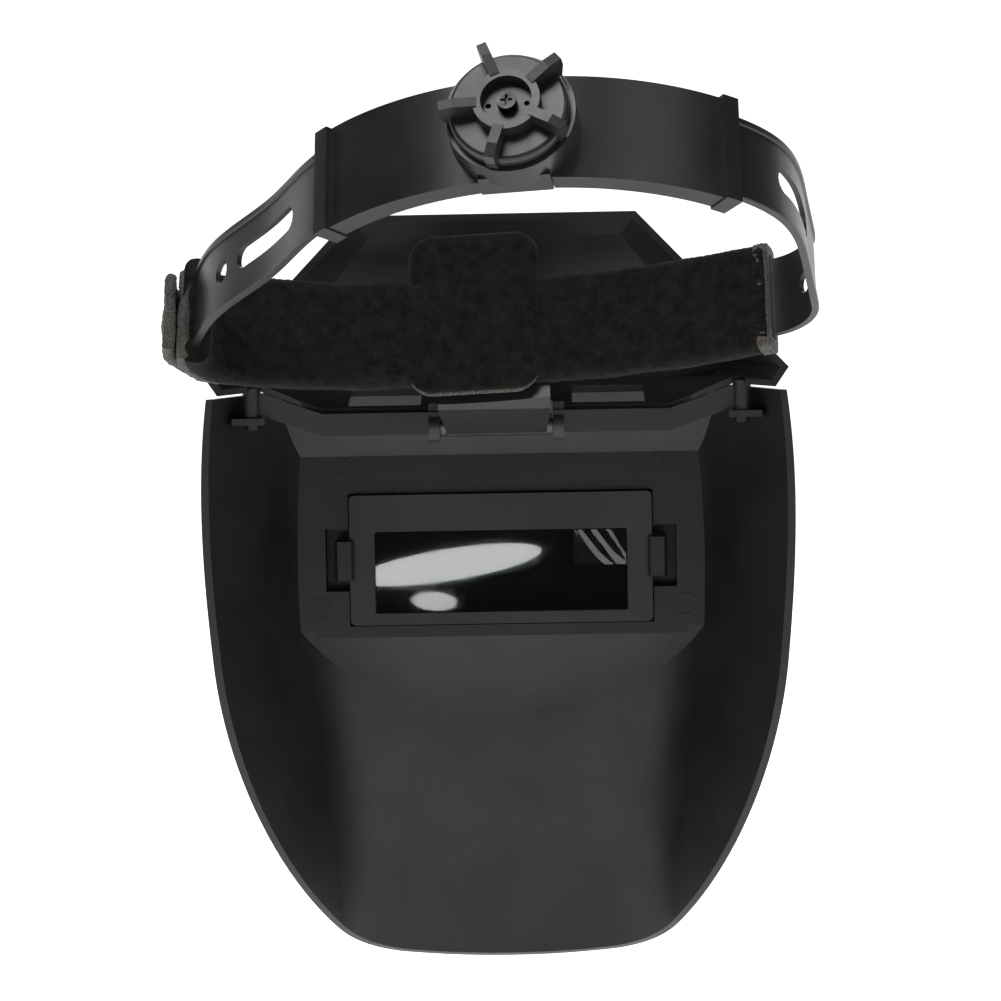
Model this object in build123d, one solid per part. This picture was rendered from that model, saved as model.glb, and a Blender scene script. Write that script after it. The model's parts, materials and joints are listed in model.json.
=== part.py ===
from build123d import *
import math
import os

# A head-worn welding face shield with a ratchet headband, stored with the mask tipped up.
# Frame: origin at the centre of the head opening, +Y towards the front of the mask, +Z up.
# Millimetres and degrees throughout.

# ---- shared clearances ----
air = 0.3            # between pieces that move past each other
running = 0.05       # radial clearance of a shaft that turns in a hole

# ---- headband ring, in its own tilted frame: x right, y front, z up ----
ring_tilt = 29.0     # the ring's rear is lifted this much against the mask
ring_half_length = 73.5
band_thickness = 1.8
strap_height = 29.0
brow_height = 36.0
brow_radius = 303.0
brow_half_width = 97.0
brow_shift, brow_yaw = 4.0, -5.5    # the soft ring rests twisted: the brow arc is shifted and turned
left_corner_radius, left_corner_turn = 13.0, 95.0
right_corner_radius, right_corner_turn = 20.0, -75.0
left_strap_way = [(-96.0, 30.5), (-72.0, -3.5)]
right_strap_way = [(106.0, 0.5), (95.0, -36.5)]
slot_length, slot_height = 39.0, 8.5
left_slot_place, right_slot_place = 0.60, 0.55
left_hole_place, right_hole_place = 0.30, 0.62
strap_hole_radius = 4.0
sweatband_height = 43.0
sweatband_wall = 4.2
sleeve_right = 95.0                 # the sleeve stops short of the right corner
tab_x, tab_width = -12.5, 47.0
tab_low, tab_high = -25.0, 38.0

# ---- rear unit, in its own frame: origin on its outer face, +y to the head ----
rear_shift = 10.2    # the rear unit rests pushed to one side
rear_yaw = -7.0      # and turned a little
rear_radius = 100.0
rear_half_angle = 42.0
rear_height = 36.0
rear_depth = 7.0
skin = 2.0
cover_thickness = 1.5
strap_layer = 1.4    # strap face below the housing's outer face, beyond its skin
strap_radius = rear_radius - skin - strap_layer
tip_angle = 11.0
pinion_teeth = 9
pinion_pitch_radius = 4.5
knob_radius = 18.9
base_radius = 20.5
base_height = 9.6
disc_low, disc_high = 10.0, 13.8
hub_radius = 10.5
hub_high = 18.6
recess_radius = 8.0
arm_count = 5
arm_first_angle = 39.0
foot_half_width = 11.3

# ---- mask, in its own frame: y = 0 at the rim, placed at (mask_y, mask_z) ----
mask_y, mask_z = 89.3, -41.1
wall = 2.5
shield_depth = 75.0
front_radius = 138.0
side_slope = 0.62             # how fast the side walls close in towards the front
corner_fillet = 45.0
width_stations = [(-4.0, 104.3), (-80.0, 109.4), (-150.0, 103.5), (-268.0, 99.0)]
shield_top = -21.0
facet_top_y = 34.0
window_lean = 3.5             # the window plate's foot is nearer the face
window_y, window_z = 44.6, -85.0
plate_half_up = 40.0
plate_half_down = 27.0
ledge_y, ledge_z = 72.5, -149.9
rim_straight_to = -118.0
rim_radius = 153.0
rim_turn = 57.0

# ---- filter cartridge, in the window's frame: x, n (forwards), u (up) ----
cartridge_width, cartridge_height = 116.0, 50.0
cartridge_play = 0.6
bezel_back, bezel_front = -3.0, 0.5
housing_front = 6.8
view_width, view_height, view_u = 97.0, 31.5, -4.8
window_box_width, window_box_height, window_box_depth = 142.0, 60.0, 10.0
flange = 2.0
aperture_width, aperture_height, aperture_u = 106.0, 44.0, 1.0
clip_height = 15.0
pocket_height = 24.0
pocket_out = 67.5

# ---- brow guard ----
guard_wall = 2.2
guard_rear_y, guard_rear_rise = 5.0, 0.12       # rear edge: y at z = -10.5, and y gained per z
guard_front_y, guard_front_rise = 34.0, -0.2    # front panel: y at z = -18.2, and y gained per z
skirt_height = 8.2
skirt_half, skirt_side_x, skirt_side_y = 64.0, 92.0, 13.0
notch_half = 21.0
hinge_y, hinge_z = 5.0, -30.0
hinge_pin_radius = 2.0
knuckle_radius = 4.2
knuckle_half = 18.4
arm_pad = 4.1                       # the arm's pad reaches this far in front of the band
lug_low, lug_high = 20.9, 24.9
screw_x, screw_y = 91.0, 12.0
screw_radius = 1.5
screw_tab_z, screw_tab_thick = -29.0, 2.5

ring = Rot(-ring_tilt, 0, 0)
mask = Pos(0, mask_y, mask_z)
window = mask * Pos(0, window_y, window_z) * Rot(-window_lean, 0, 0)
brow_plan = Pos(brow_shift, ring_half_length, 0) * Rot(0, 0, brow_yaw)
rear_plan = Pos(rear_shift, -ring_half_length, 0) * Rot(0, 0, rear_yaw)
rear = ring * rear_plan
knob_axis = rear * Rot(90, 0, 0)


# ---------------------------------------------------------------- helpers

def save(name, shape):
    """Write one node; a group of separate solids is written as a compound."""
    solids = shape.solids()
    whole = solids[0] if len(solids) == 1 else Compound(children=list(solids))
    export_step(whole, "parts/" + name + ".step")


def slab(x, y, z):
    """A box given by its (low, high) limits on each axis."""
    box = Box(x[1] - x[0], y[1] - y[0], z[1] - z[0])
    return Pos((x[0] + x[1]) / 2, (y[0] + y[1]) / 2, (z[0] + z[1]) / 2) * box


def side_extrusion(points, half_width):
    """A prism across the mask from an outline in (y, z)."""
    face = make_face(Polyline(*points, close=True))
    return extrude(Plane.YZ * face, amount=half_width, both=True)


def disc(radius, low, high):
    """A cylinder along z between two heights."""
    return Pos(0, 0, low) * Cylinder(radius, high - low, align=(Align.CENTER, Align.CENTER, Align.MIN))


def arc_strip(low_radius, high_radius, half_angle, height):
    """A curved strip of the rear unit, in the rear unit's frame."""
    start = -90 - half_angle
    outer = CenterArc((0, 0), high_radius, start, 2 * half_angle)
    inner = CenterArc((0, 0), low_radius, start, 2 * half_angle)
    ends = [Line(outer @ 0, inner @ 0), Line(outer @ 1, inner @ 1)]
    face = make_face([outer, inner] + ends)
    return Pos(0, rear_radius, -height / 2) * extrude(face, amount=height, dir=(0, 0, 1))


# ---------------------------------------------------------------- shield

def shield_section(half_width, inset, rear_y):
    """Plan of the shield: a wide front arc, rounded corners and two slanted sides."""
    reach = half_width - inset * math.hypot(1, side_slope)
    radius = front_radius - inset
    centre_y = shield_depth - front_radius
    middle = reach * side_slope + centre_y
    square = 1 + side_slope ** 2
    rest = reach ** 2 + centre_y ** 2 - radius ** 2
    meet_y = (middle + math.sqrt(middle ** 2 - square * rest)) / square
    meet_x = reach - side_slope * meet_y
    back_x = reach - side_slope * rear_y
    front = ThreePointArc((meet_x, meet_y), (0, shield_depth - inset), (-meet_x, meet_y))
    sides = Polyline((-meet_x, meet_y), (-back_x, rear_y), (back_x, rear_y), (meet_x, meet_y))
    face = make_face([front, sides])
    corners = face.vertices().sort_by(Axis.Y)[-2:]
    return fillet(corners, corner_fillet - inset)


def shield_bulk(inset, rear_y, stretch):
    """The shield's full height as one lofted block."""
    sections = []
    last = len(width_stations) - 1
    for index, (z, half_width) in enumerate(width_stations):
        shift = stretch if index == 0 else -stretch if index == last else 0
        sections.append(Pos(0, 0, z + shift) * shield_section(half_width, inset, rear_y))
    return loft(sections)


def shield_profile(top):
    """Side outline of the space behind the front facets: forehead facet, plate, ledge, chin."""
    lean = math.tan(math.radians(window_lean))
    plate_top = (window_y + plate_half_up * lean, window_z + plate_half_up)
    plate_foot = (window_y - plate_half_down * lean, window_z - plate_half_down)
    ledge_slope = (ledge_z - plate_foot[1]) / (ledge_y - plate_foot[0])
    far_y = 120.0
    far_z = ledge_z + ledge_slope * (far_y - ledge_y)
    start = [(-60.0, top), (facet_top_y, top)]
    if top > shield_top:
        start.append((facet_top_y, shield_top))
    return start + [plate_top, plate_foot, (far_y, far_z), (far_y, -300.0), (-60.0, -300.0)]


def rim_cutter():
    """Everything behind the rim, which sweeps forwards below the cheeks."""
    bend = JernArc((0, rim_straight_to), (0, -1), rim_radius, rim_turn)
    heading = bend % 1
    end = bend @ 1 + heading * 130
    back = Polyline(end, (-70, end.Y), (-70, 30), (0, 30), (0, rim_straight_to))
    face = make_face([bend, Line(bend @ 1, end), back])
    return extrude(Plane.YZ * face, amount=150, both=True)


def clip_pocket(side):
    """The recess that a clip springs back into."""
    near = cartridge_width / 2 + cartridge_play - 0.2
    x = sorted((side * near, side * pocket_out))
    half = pocket_height / 2
    return slab(x, (-5, window_box_depth - flange), (-half, half))


def shield_shell():
    outer_face = offset(make_face(Polyline(*shield_profile(shield_top), close=True)), wall,
                        kind=Kind.INTERSECTION)
    outer = shield_bulk(0, -20, 0) & extrude(Plane.YZ * outer_face, amount=150, both=True)
    inner = shield_bulk(wall, -30, 3) & side_extrusion(shield_profile(0), 150)
    shell = mask * (outer - inner - rim_cutter())
    half_w, half_h = window_box_width / 2, window_box_height / 2
    shell += window * slab((-half_w, half_w), (0, window_box_depth), (-half_h, half_h))
    cavity_w = cartridge_width / 2 + cartridge_play
    cavity_h = cartridge_height / 2 + cartridge_play
    inside = window_box_depth - flange
    shell -= window * slab((-cavity_w, cavity_w), (-5, inside), (-cavity_h, cavity_h))
    low, high = aperture_u - aperture_height / 2, aperture_u + aperture_height / 2
    half_a = aperture_width / 2
    shell -= window * slab((-half_a, half_a), (inside - 1, inside + 5), (low, high))
    for side in (-1, 1):
        shell -= window * clip_pocket(side)
        shell += corner_tab(side)
    return shell.solids().sort_by(SortBy.VOLUME)[-1]


def corner_tab(side):
    """Tab inside the shield's top corner that takes the brow guard's screw."""
    x = sorted((side * (screw_x - 5), side * (screw_x + 7.2)))
    tab = mask * slab(x, (screw_y - 5, screw_y + 5), (screw_tab_z, screw_tab_z + screw_tab_thick))
    hole = mask * Pos(side * screw_x, screw_y, 0) * disc(screw_radius + 0.1, screw_tab_z - 5, screw_tab_z + 8)
    return tab - hole


# ---------------------------------------------------------------- brow guard

def guard_face(points, y_at, z_at, rise, inset, shift):
    """A flat outline of the tray, leaning in y as it rises in z."""
    corners = [(x, y_at + rise * (z - z_at) + shift, z) for x, z in points]
    mirrored = [(-x, y, z) for x, y, z in reversed(corners)]
    face = make_face(Polyline(*(corners + mirrored), close=True))
    if inset:
        face = offset(face, -inset, kind=Kind.INTERSECTION)
    return face


def guard_tray(inset, back_shift, front_shift):
    rear_points = [(52.5, 47.5), (108, -10.5), (103, -17.7), (90, -16.5), (64, -25.3)]
    front_points = [(48, 41), (88, -9), (86, -14), (82, -17), (60, -18.2)]
    back = guard_face(rear_points, guard_rear_y, -10.5, guard_rear_rise, inset, back_shift)
    front = guard_face(front_points, guard_front_y, -18.2, guard_front_rise, inset, front_shift)
    return loft([back, front], ruled=True)


def skirt_wall():
    """Faceted wall that hangs from the shelf's rear edge."""
    plan = Polyline((-skirt_side_x, skirt_side_y), (-skirt_half, 1.2), (skirt_half, 1.2),
                    (skirt_side_x, skirt_side_y))
    block = Pos(0, 0, -40) * extrude(trace(plan, 2.2), amount=35, dir=(0, 0, 1))
    upper = [(-94, -16.6), (-90, -16.6), (-64, -24.6), (64, -24.6), (90, -16.6), (94, -16.6)]
    lower = [(x, z - skirt_height) for x, z in reversed(upper)]
    outline = make_face(Polyline(*(upper + lower), close=True))
    return block & extrude(Plane.XZ * outline, amount=40, both=True)


def hinge_lug(side):
    centre = Pos(0, hinge_y, hinge_z)
    eye = centre * Rot(0, 90, 0) * Cylinder(6.2, lug_high - lug_low)
    web = slab((-2, 2), (1.2, hinge_y + 4), (hinge_z, -21.5))
    return Pos(side * (lug_low + lug_high) / 2, 0, 0) * (eye + web)


def brow_guard():
    tray = guard_tray(0, 0, 0) - guard_tray(guard_wall, -0.6, -guard_wall)
    behind = Polyline((-skirt_side_x, -30), (-skirt_side_x, skirt_side_y), (-skirt_half, 0.1),
                      (skirt_half, 0.1), (skirt_side_x, skirt_side_y), (skirt_side_x, -30), close=True)
    tray -= Pos(0, 0, -40) * extrude(make_face(behind), amount=28.5, dir=(0, 0, 1))
    guard = tray + skirt_wall()
    for side in (-1, 1):
        guard += hinge_lug(side)
        post = Pos(side * screw_x, screw_y, 0) * disc(3.4, screw_tab_z + screw_tab_thick, -15.5)
        guard += post
    guard -= slab((-notch_half + 0.2, notch_half - 0.2), (-10, 16), (-50, -12))
    for side in (-1, 1):
        x = sorted((side * 28, side * 55))
        guard -= slab(x, (6, 25), (-30, -14))
        guard -= Pos(side * screw_x, screw_y, 0) * disc(screw_radius, screw_tab_z, -18)
    guard -= Pos(0, hinge_y, hinge_z) * Rot(0, 90, 0) * Cylinder(hinge_pin_radius, 80)
    return mask * guard.solids().sort_by(SortBy.VOLUME)[-1]


def corner_screws():
    screws = []
    for side in (-1, 1):
        shank = disc(screw_radius - 0.02, screw_tab_z, -18.5)
        head = disc(2.9, screw_tab_z - 2.0, screw_tab_z)
        slot = slab((-0.4, 0.4), (-2.2, 2.2), (screw_tab_z - 2.5, screw_tab_z - 1.2))
        screws.append(mask * Pos(side * screw_x, screw_y, 0) * (shank + head - slot))
    return Compound(children=screws)


# ---------------------------------------------------------------- filter cartridge

def rounded_plate(width, height, low, high, radius):
    """A plate with rounded corners in the window's frame, between two depths."""
    face = RectangleRounded(width, height, radius)
    return Rot(-90, 0, 0) * Pos(0, 0, low) * extrude(face, amount=high - low, dir=(0, 0, 1))


def filter_frame():
    """Inner half of the cartridge, with the deep border above the view."""
    frame = rounded_plate(cartridge_width, cartridge_height, bezel_back, bezel_front, 2.0)
    view = Pos(0, 0, view_u) * rounded_plate(view_width, view_height, -9, 9, 1.0)
    seat = Pos(0, 0, view_u) * rounded_plate(view_width + 4, view_height + 4, -0.7, 9, 1.0)
    return window * (frame - view - seat)


def filter_housing():
    """Outer half of the cartridge: a frame with rooms for the glass and the electronics."""
    body = rounded_plate(cartridge_width, cartridge_height, bezel_front + 0.05, housing_front, 2.0)
    view = Pos(0, 0, view_u) * rounded_plate(view_width, view_height, -9, 12, 1.0)
    glass_room = Pos(0, 0, view_u) * rounded_plate(101.4, 35.4, 0, 5.2, 0.6)
    board_room = Pos(0, 0, 18.6) * rounded_plate(96.4, 9.4, 0, 3.9, 0.6)
    cell_room = Pos(0, 0, 17.4) * rounded_plate(72.4, 8.6, 5.6, 9, 0.6)
    body -= view + glass_room + board_room + cell_room
    for side in (-1, 1):
        body -= Pos(side * 44, 0, 17.4) * Rot(-90, 0, 0) * disc(2.6, 3.0, 9)
    return window * body


def lcd_glass():
    return window * Pos(0, 0, view_u) * rounded_plate(101, 35, 1.6, 5.1, 0.5)


def inner_cover_lens():
    return window * Pos(0, 0, view_u) * rounded_plate(100.6, 35.1, -0.65, 0.45, 0.8)


def outer_cover_lens():
    return window * rounded_plate(cartridge_width - 0.4, cartridge_height - 0.4, 6.9, 7.9, 2.0)


def solar_cell():
    return window * Pos(0, 0, 17.4) * rounded_plate(72, 8.2, 5.65, 6.7, 0.4)


def circuit_board():
    board = Pos(0, 0, 18.6) * rounded_plate(96, 9, 1.2, 2.4, 0.4)
    for x, size in ((-30, 6), (-8, 9), (14, 5), (33, 7)):
        board += Pos(x, 0, 18.6) * rounded_plate(size, 5, 2.3, 3.6, 0.3)
    return window * board


def light_sensors():
    sensors = []
    for side in (-1, 1):
        stem = disc(2.5, 3.05, 6.0)
        dome = Pos(0, 0, 6.0) * (Sphere(2.5) & slab((-3, 3), (-3, 3), (0, 0.75)))
        sensors.append(window * Pos(side * 44, 0, 17.4) * Rot(-90, 0, 0) * (stem + dome))
    return Compound(children=sensors)


def filter_clip(side):
    """A spring latch: stem rising from the pocket and a bar over the cartridge's edge."""
    edge = cartridge_width / 2
    half = clip_height / 2
    outline = [(edge + 3.6, 7.0), (edge + 3.6, -3.35), (edge - 1.6, -3.35), (edge - 1.6, -4.3),
               (edge - 0.6, -5.4), (edge + 4.6, -5.4), (edge + 5.8, -4.4), (edge + 5.8, 7.0)]
    face = make_face(Polyline(*[(side * x, n) for x, n in outline], close=True))
    return window * Pos(0, 0, -half) * extrude(face, amount=clip_height, dir=(0, 0, 1))


# ---------------------------------------------------------------- headband

def in_plan(plan, x, y):
    """A point of one of the plan frames as a point of the ring's plan."""
    place = (plan * Pos(x, y, 0)).position
    return (place.X, place.Y)


def brow_arc(low, high):
    """The brow band's centre line between two places, given as x in the brow's own frame."""
    points = []
    for x in (low, (low + high) / 2, high):
        drop = brow_radius - math.sqrt(brow_radius ** 2 - x ** 2)
        points.append(in_plan(brow_plan, x, -drop))
    return ThreePointArc(*points)


def corner_arc(side):
    """The bend from the brow band into a side strap; tighter on the left, where it is folded."""
    arc = brow_arc(-brow_half_width, brow_half_width)
    if side > 0:
        return JernArc(arc @ 1, arc % 1, right_corner_radius, right_corner_turn)
    return JernArc(arc @ 0, -(arc % 0), left_corner_radius, left_corner_turn)


def upright(sketch, low, high):
    """Raise a plan sketch between two heights of the ring."""
    return Pos(0, 0, low) * extrude(sketch, amount=high - low, dir=(0, 0, 1))


def rivet_holes():
    holes = Part()
    for x in (-12, 12):
        holes += Pos(x, ring_half_length, -2) * Rot(90, 0, 0) * Cylinder(2.0, 20)
    return holes


def brow_band():
    half = brow_height / 2 - 2
    plan = trace(brow_arc(-brow_half_width, brow_half_width), band_thickness)
    return ring * (upright(plan, -half, half) - rivet_holes())


def sleeve_plan(width):
    return trace(brow_arc(-brow_half_width, sleeve_right), width) + trace(corner_arc(-1), width)


def sweatband():
    """Foam and pile sleeve round the brow band, with a tab at its middle."""
    half = sweatband_height / 2
    outer = upright(sleeve_plan(band_thickness + 2 * sweatband_wall), -half, half)
    inner = upright(sleeve_plan(band_thickness + 1.6), -half + 2.2, half - 2.2)
    near = -band_thickness / 2 - sweatband_wall
    x = (tab_x - tab_width / 2, tab_x + tab_width / 2)
    tab = slab(x, (near - 3.0, near + 0.6), (tab_low, tab_high))
    tab = brow_plan * fillet(tab.edges().filter_by(Axis.Y), 9.0)
    arm_room = brow_plan * slab((-26, 18), (-0.9, 12), (-60, 14))
    return ring * ((outer + tab) - inner - arm_room).solids().sort_by(SortBy.VOLUME)[-1]


def hinge_in_ring():
    """The hinge axis's place in the ring's frame."""
    y, z = mask_y + hinge_y, mask_z + hinge_z
    tilt = math.radians(ring_tilt)
    front = y * math.cos(tilt) - z * math.sin(tilt)
    up = y * math.sin(tilt) + z * math.cos(tilt)
    return front, up


def hinge_arm():
    """Flat arm from the brow band's middle forwards to the mask's hinge."""
    front, up = hinge_in_ring()
    back, face = ring_half_length - 3, ring_half_length + arm_pad
    outline = [(back, 12), (back, -25), (face + 1, -27.5), (front, up - knuckle_radius + 0.4),
               (front, up - 0.6), (face + 4, -23.6), (face, -20), (face, 12)]
    plate = extrude(Plane.YZ * make_face(Polyline(*outline, close=True)), amount=20, both=True)
    taper = Polyline((-20, 65), (20, 65), (20, face + 5), (knuckle_half, front - 6),
                     (knuckle_half, front + 8), (-knuckle_half, front + 8),
                     (-knuckle_half, front - 6), (-20, face + 5), close=True)
    plate &= upright(make_face(taper), -60, 40)
    # the pad follows the band's outer face
    plate -= upright(trace(brow_arc(-60, 60), band_thickness + 0.1), -60, 40)
    plate = plate.solids().sort_by(SortBy.VOLUME)[-1]
    knuckle = Pos(0, front, up) * Rot(0, 90, 0) * Cylinder(knuckle_radius, 2 * knuckle_half)
    bore = Pos(0, front, up) * Rot(0, 90, 0) * Cylinder(hinge_pin_radius + running, 80)
    return ring * (plate + knuckle - bore - rivet_holes())


def arm_rivets():
    """Two rivets hold the arm to the brow band."""
    rivets = []
    for x in (-12, 12):
        outer = ring_half_length + arm_pad + 0.05
        shank = Pos(x, 0, -2) * Rot(-90, 0, 0) * disc(1.95, ring_half_length - 0.4, outer)
        head = Pos(x, 0, -2) * Rot(-90, 0, 0) * disc(3.6, outer, outer + 1.2)
        rivets.append(ring * (shank + head))
    return Compound(children=rivets)


def hinge_pin():
    return mask * Pos(0, hinge_y, hinge_z) * Rot(0, 90, 0) * Cylinder(hinge_pin_radius, 2 * lug_high)


def friction_washers():
    """Wave washers that hold the mask where it is put."""
    washers = []
    middle = (knuckle_half + lug_low) / 2
    for side in (-1, 1):
        washer = Cylinder(4.0, 1.9) - Cylinder(hinge_pin_radius + 0.06, 5)
        washers.append(mask * Pos(side * middle, hinge_y, hinge_z) * Rot(0, 90, 0) * washer)
    return Compound(children=washers)


# ---------------------------------------------------------------- side straps

def rear_point(angle, radius):
    """A point of the rear unit's arc in the ring's plan; angle 0 is its middle."""
    turn = math.radians(angle)
    return in_plan(rear_plan, radius * math.sin(turn), rear_radius - radius * math.cos(turn))


def strap_path(side):
    """Plan of one strap's free stretch up to the collar, and of its end inside the channel."""
    corner = corner_arc(side)
    way = right_strap_way if side > 0 else left_strap_way
    collar = rear_point(side * (rear_half_angle + 1.0), strap_radius)
    inside = rear_point(side * rear_half_angle * 0.5, strap_radius)
    tip = rear_point(-side * tip_angle, strap_radius)
    turn = math.radians(rear_yaw + side * (rear_half_angle + 1.0))
    heading = (-side * math.cos(turn), -side * math.sin(turn))
    free = Spline(corner @ 1, *way, collar, tangents=(corner % 1, heading))
    return free, ThreePointArc(collar, inside, tip)


def strap(side):
    """One side strap: corner, free stretch, and a toothed rack that reaches past the pinion."""
    corner = corner_arc(side)
    free, guided = strap_path(side)
    half = strap_height / 2
    body = upright(trace(corner, band_thickness) + trace(free, band_thickness), -half, half)
    shoulder = upright(trace(guided, band_thickness), -half, half)
    low, high = (5.9, 12.5) if side < 0 else (-12.5, -5.9)
    middle = rear_plan * slab((-24, 24), (-20, 40), (-40, 40))
    rack = shoulder & middle & slab((-200, 200), (-200, 200), (low, high))
    body += (shoulder - middle) + rack + rack_teeth(side)
    slot_place, hole_place = (left_slot_place, left_hole_place)
    hole_line = free
    if side > 0:
        slot_place, hole_place = (right_slot_place, right_hole_place)
        hole_line = corner
    slot = extrude(SlotOverall(slot_length, slot_height), amount=6, both=True)
    body -= across(free, slot_place) * slot
    body -= across(hole_line, hole_place) * Cylinder(strap_hole_radius, 12)
    return ring * body.solids().sort_by(SortBy.VOLUME)[-1]


def across(line, place):
    """A frame on a strap's plan line whose z axis runs through the strap."""
    point, heading = line @ place, line % place
    angle = math.degrees(math.atan2(heading.Y, heading.X))
    return Pos(point.X, point.Y, 0) * Rot(0, 0, angle) * Rot(90, 0, 0)


def rack_teeth(side):
    """Rack teeth that face the pinion; the two racks are half a pitch apart."""
    pitch = 2 * math.pi * pinion_pitch_radius / pinion_teeth
    degrees = math.degrees(pitch / strap_radius)
    teeth = Part()
    first = 0.5 if side < 0 else 0.0
    for index in range(-6, 4):
        angle = (index + first) * degrees * -side
        tooth = slab((-0.55, 0.55), (-0.9, 0.9), (3.9, 6.1))
        tooth = Pos(0, -strap_radius, 0) * tooth
        if side > 0:
            tooth = mirror(tooth, Plane.XY)
        teeth += rear_plan * Pos(0, rear_radius, 0) * Rot(0, 0, angle) * tooth
    return teeth


# ---------------------------------------------------------------- rear unit

def rear_housing():
    """Channel-shaped outer shell with a collar at each end and a boss at its middle."""
    shell = arc_strip(rear_radius - rear_depth, rear_radius, rear_half_angle, rear_height)
    room_outer = rear_radius - skin
    shell -= arc_strip(rear_radius - rear_depth - 1, room_outer, rear_half_angle + 5, rear_height - 2 * skin)
    for side in (-1, 1):
        collar = arc_strip(rear_radius - rear_depth - 0.8, rear_radius + 1.6, 1.7, rear_height + 1.2)
        mouth = arc_strip(rear_radius - 5.3, room_outer - 0.4, 4, strap_height + 1.5)
        swing = Pos(0, rear_radius, 0) * Rot(0, 0, side * (rear_half_angle - 1)) * Pos(0, -rear_radius, 0)
        shell = (shell + swing * collar) - swing * mouth
    shell -= Rot(90, 0, 0) * disc(pinion_pitch_radius + 1.6, -5, 5)
    half = foot_half_width + 0.15
    shell -= slab((-half, half), (-5, rear_depth + 2), (-rear_height, -rear_height / 2 + skin))
    return rear * shell


def rear_cover():
    """Inner cover that closes the channel on the head's side."""
    low = rear_radius - rear_depth
    cover = arc_strip(low, low + cover_thickness, rear_half_angle - 3.2, rear_height - 2 * skin - 0.2)
    return rear * cover


def cover_screws():
    """Screws that hold the inner cover, clear of the straps."""
    screws = []
    for angle in (-30, -14, 14, 30):
        turn = Pos(0, rear_radius, 0) * Rot(0, 0, angle) * Pos(0, -rear_radius, 0)
        seat = Pos(0, rear_depth, -14.9) * Rot(-90, 0, 0) * disc(0.9, 0.02, 0.9)
        screws.append(rear * turn * seat)
    return Compound(children=screws)


def drum_room():
    """The space inside the rear unit's outer face, down to its lower flange."""
    drum = Rot(-90, 0, 0) * Pos(0, rear_radius, 0) * Cylinder(rear_radius + 0.02, 80)
    return drum & slab((-60, 60), (-rear_height / 2 + skin - 0.15, 60), (-60, 60))


def ratchet_base():
    """Fixed socket for the knob with a tooth ring, and a foot over the housing's lower edge."""
    sit = math.sqrt(rear_radius ** 2 - base_radius ** 2)
    back = rear_radius - sit
    block = disc(base_radius, -back - 0.2, base_height) - disc(base_radius - 2.4, 2.2, base_height + 1)
    block -= Rot(-90, 0, 0) * Pos(0, rear_radius, 0) * Cylinder(rear_radius + 0.02, 80)
    block -= disc(pinion_pitch_radius + 1.6, -9, 9)
    for index in range(24):
        tooth = Pos(base_radius - 2.5, 0, 0) * slab((-0.9, 0.3), (-0.7, 0.7), (2.2, 5.0))
        block += Rot(0, 0, index * 15) * tooth
    foot = slab((-foot_half_width, foot_half_width), (-rear_height / 2 - 0.9, -13), (-rear_depth, 3))
    block += foot - drum_room()
    return knob_axis * block


def pinion():
    """Nine-tooth gear on the knob's shaft, between the two racks."""
    layer = -(skin + strap_layer)
    gear = disc(3.4, layer - 1.3, layer + 1.3)
    for index in range(pinion_teeth):
        tooth = slab((2.8, 5.2), (-0.62, 0.62), (layer - 1.2, layer + 1.2))
        gear += Rot(0, 0, 90 + index * 360 / pinion_teeth) * tooth
    gear += disc(3.2, layer, disc_low - 0.05)
    gear -= disc(1.25, layer - 3, 20)
    return knob_axis * gear


def ratchet_spring():
    """Flat spring ring with two pawls that click round the base's teeth."""
    ring_plate = disc(12.0, 3.0, 4.4) - disc(3.3, 2, 6)
    for side in (0, 180):
        pawl = slab((11.0, 15.9), (-1.2, 1.2), (3.0, 4.4))
        ring_plate += Rot(0, 0, side + 7.5) * pawl
    return knob_axis * ring_plate


def knob_arm(index):
    """One raised finger grip that reaches past the disc."""
    side = [(hub_radius - 1.2, disc_high - 1.0), (knob_radius + 1.2, disc_low + 0.4),
            (knob_radius + 2.4, disc_high + 1.5), (knob_radius + 2.2, hub_high + 0.6),
            (knob_radius - 2.5, hub_high + 1.4), (hub_radius - 1.2, hub_high + 0.4)]
    fin = extrude(Plane.XZ * make_face(Polyline(*side, close=True)), amount=1.6, both=True)
    return Rot(0, 0, arm_first_angle + index * 360 / arm_count) * fin


def star_knob():
    knob = disc(knob_radius, disc_low, disc_high)
    knob = fillet(knob.edges().sort_by(Axis.Z)[-1:], 1.6)
    knob += disc(hub_radius, disc_high - 1, hub_high)
    for index in range(arm_count):
        knob += knob_arm(index)
    knob -= disc(recess_radius, hub_high - 4.0, hub_high + 9)
    knob -= disc(1.6, 0, 40)
    for side in (-1, 1):
        knob -= Pos(side * 6.0, 0, 0) * disc(0.9, hub_high - 6.0, hub_high)
    return knob_axis * knob


def knob_screw():
    shank = disc(1.2, -4.4, hub_high - 3.95)
    head = disc(3.1, hub_high - 3.95, hub_high - 0.8)
    cross = slab((-1.9, 1.9), (-0.4, 0.4), (hub_high - 2.0, hub_high))
    return knob_axis * (shank + head - cross - Rot(0, 0, 90) * cross)


save("shield_shell", shield_shell())
save("brow_guard", brow_guard())
save("corner_screws", corner_screws())
save("filter_frame", filter_frame())
save("filter_housing", filter_housing())
save("lcd_glass", lcd_glass())
save("inner_cover_lens", inner_cover_lens())
save("outer_cover_lens", outer_cover_lens())
save("solar_cell", solar_cell())
save("circuit_board", circuit_board())
save("light_sensors", light_sensors())
save("clip_left", filter_clip(-1))
save("clip_right", filter_clip(1))
save("brow_band", brow_band())
save("sweatband", sweatband())
save("hinge_arm", hinge_arm())
save("arm_rivets", arm_rivets())
save("hinge_pin", hinge_pin())
save("friction_washers", friction_washers())
save("strap_left", strap(-1))
save("strap_right", strap(1))
save("rear_housing", rear_housing())
save("rear_cover", rear_cover())
save("cover_screws", cover_screws())
save("ratchet_base", ratchet_base())
save("pinion", pinion())
save("ratchet_spring", ratchet_spring())
save("star_knob", star_knob())
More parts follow.
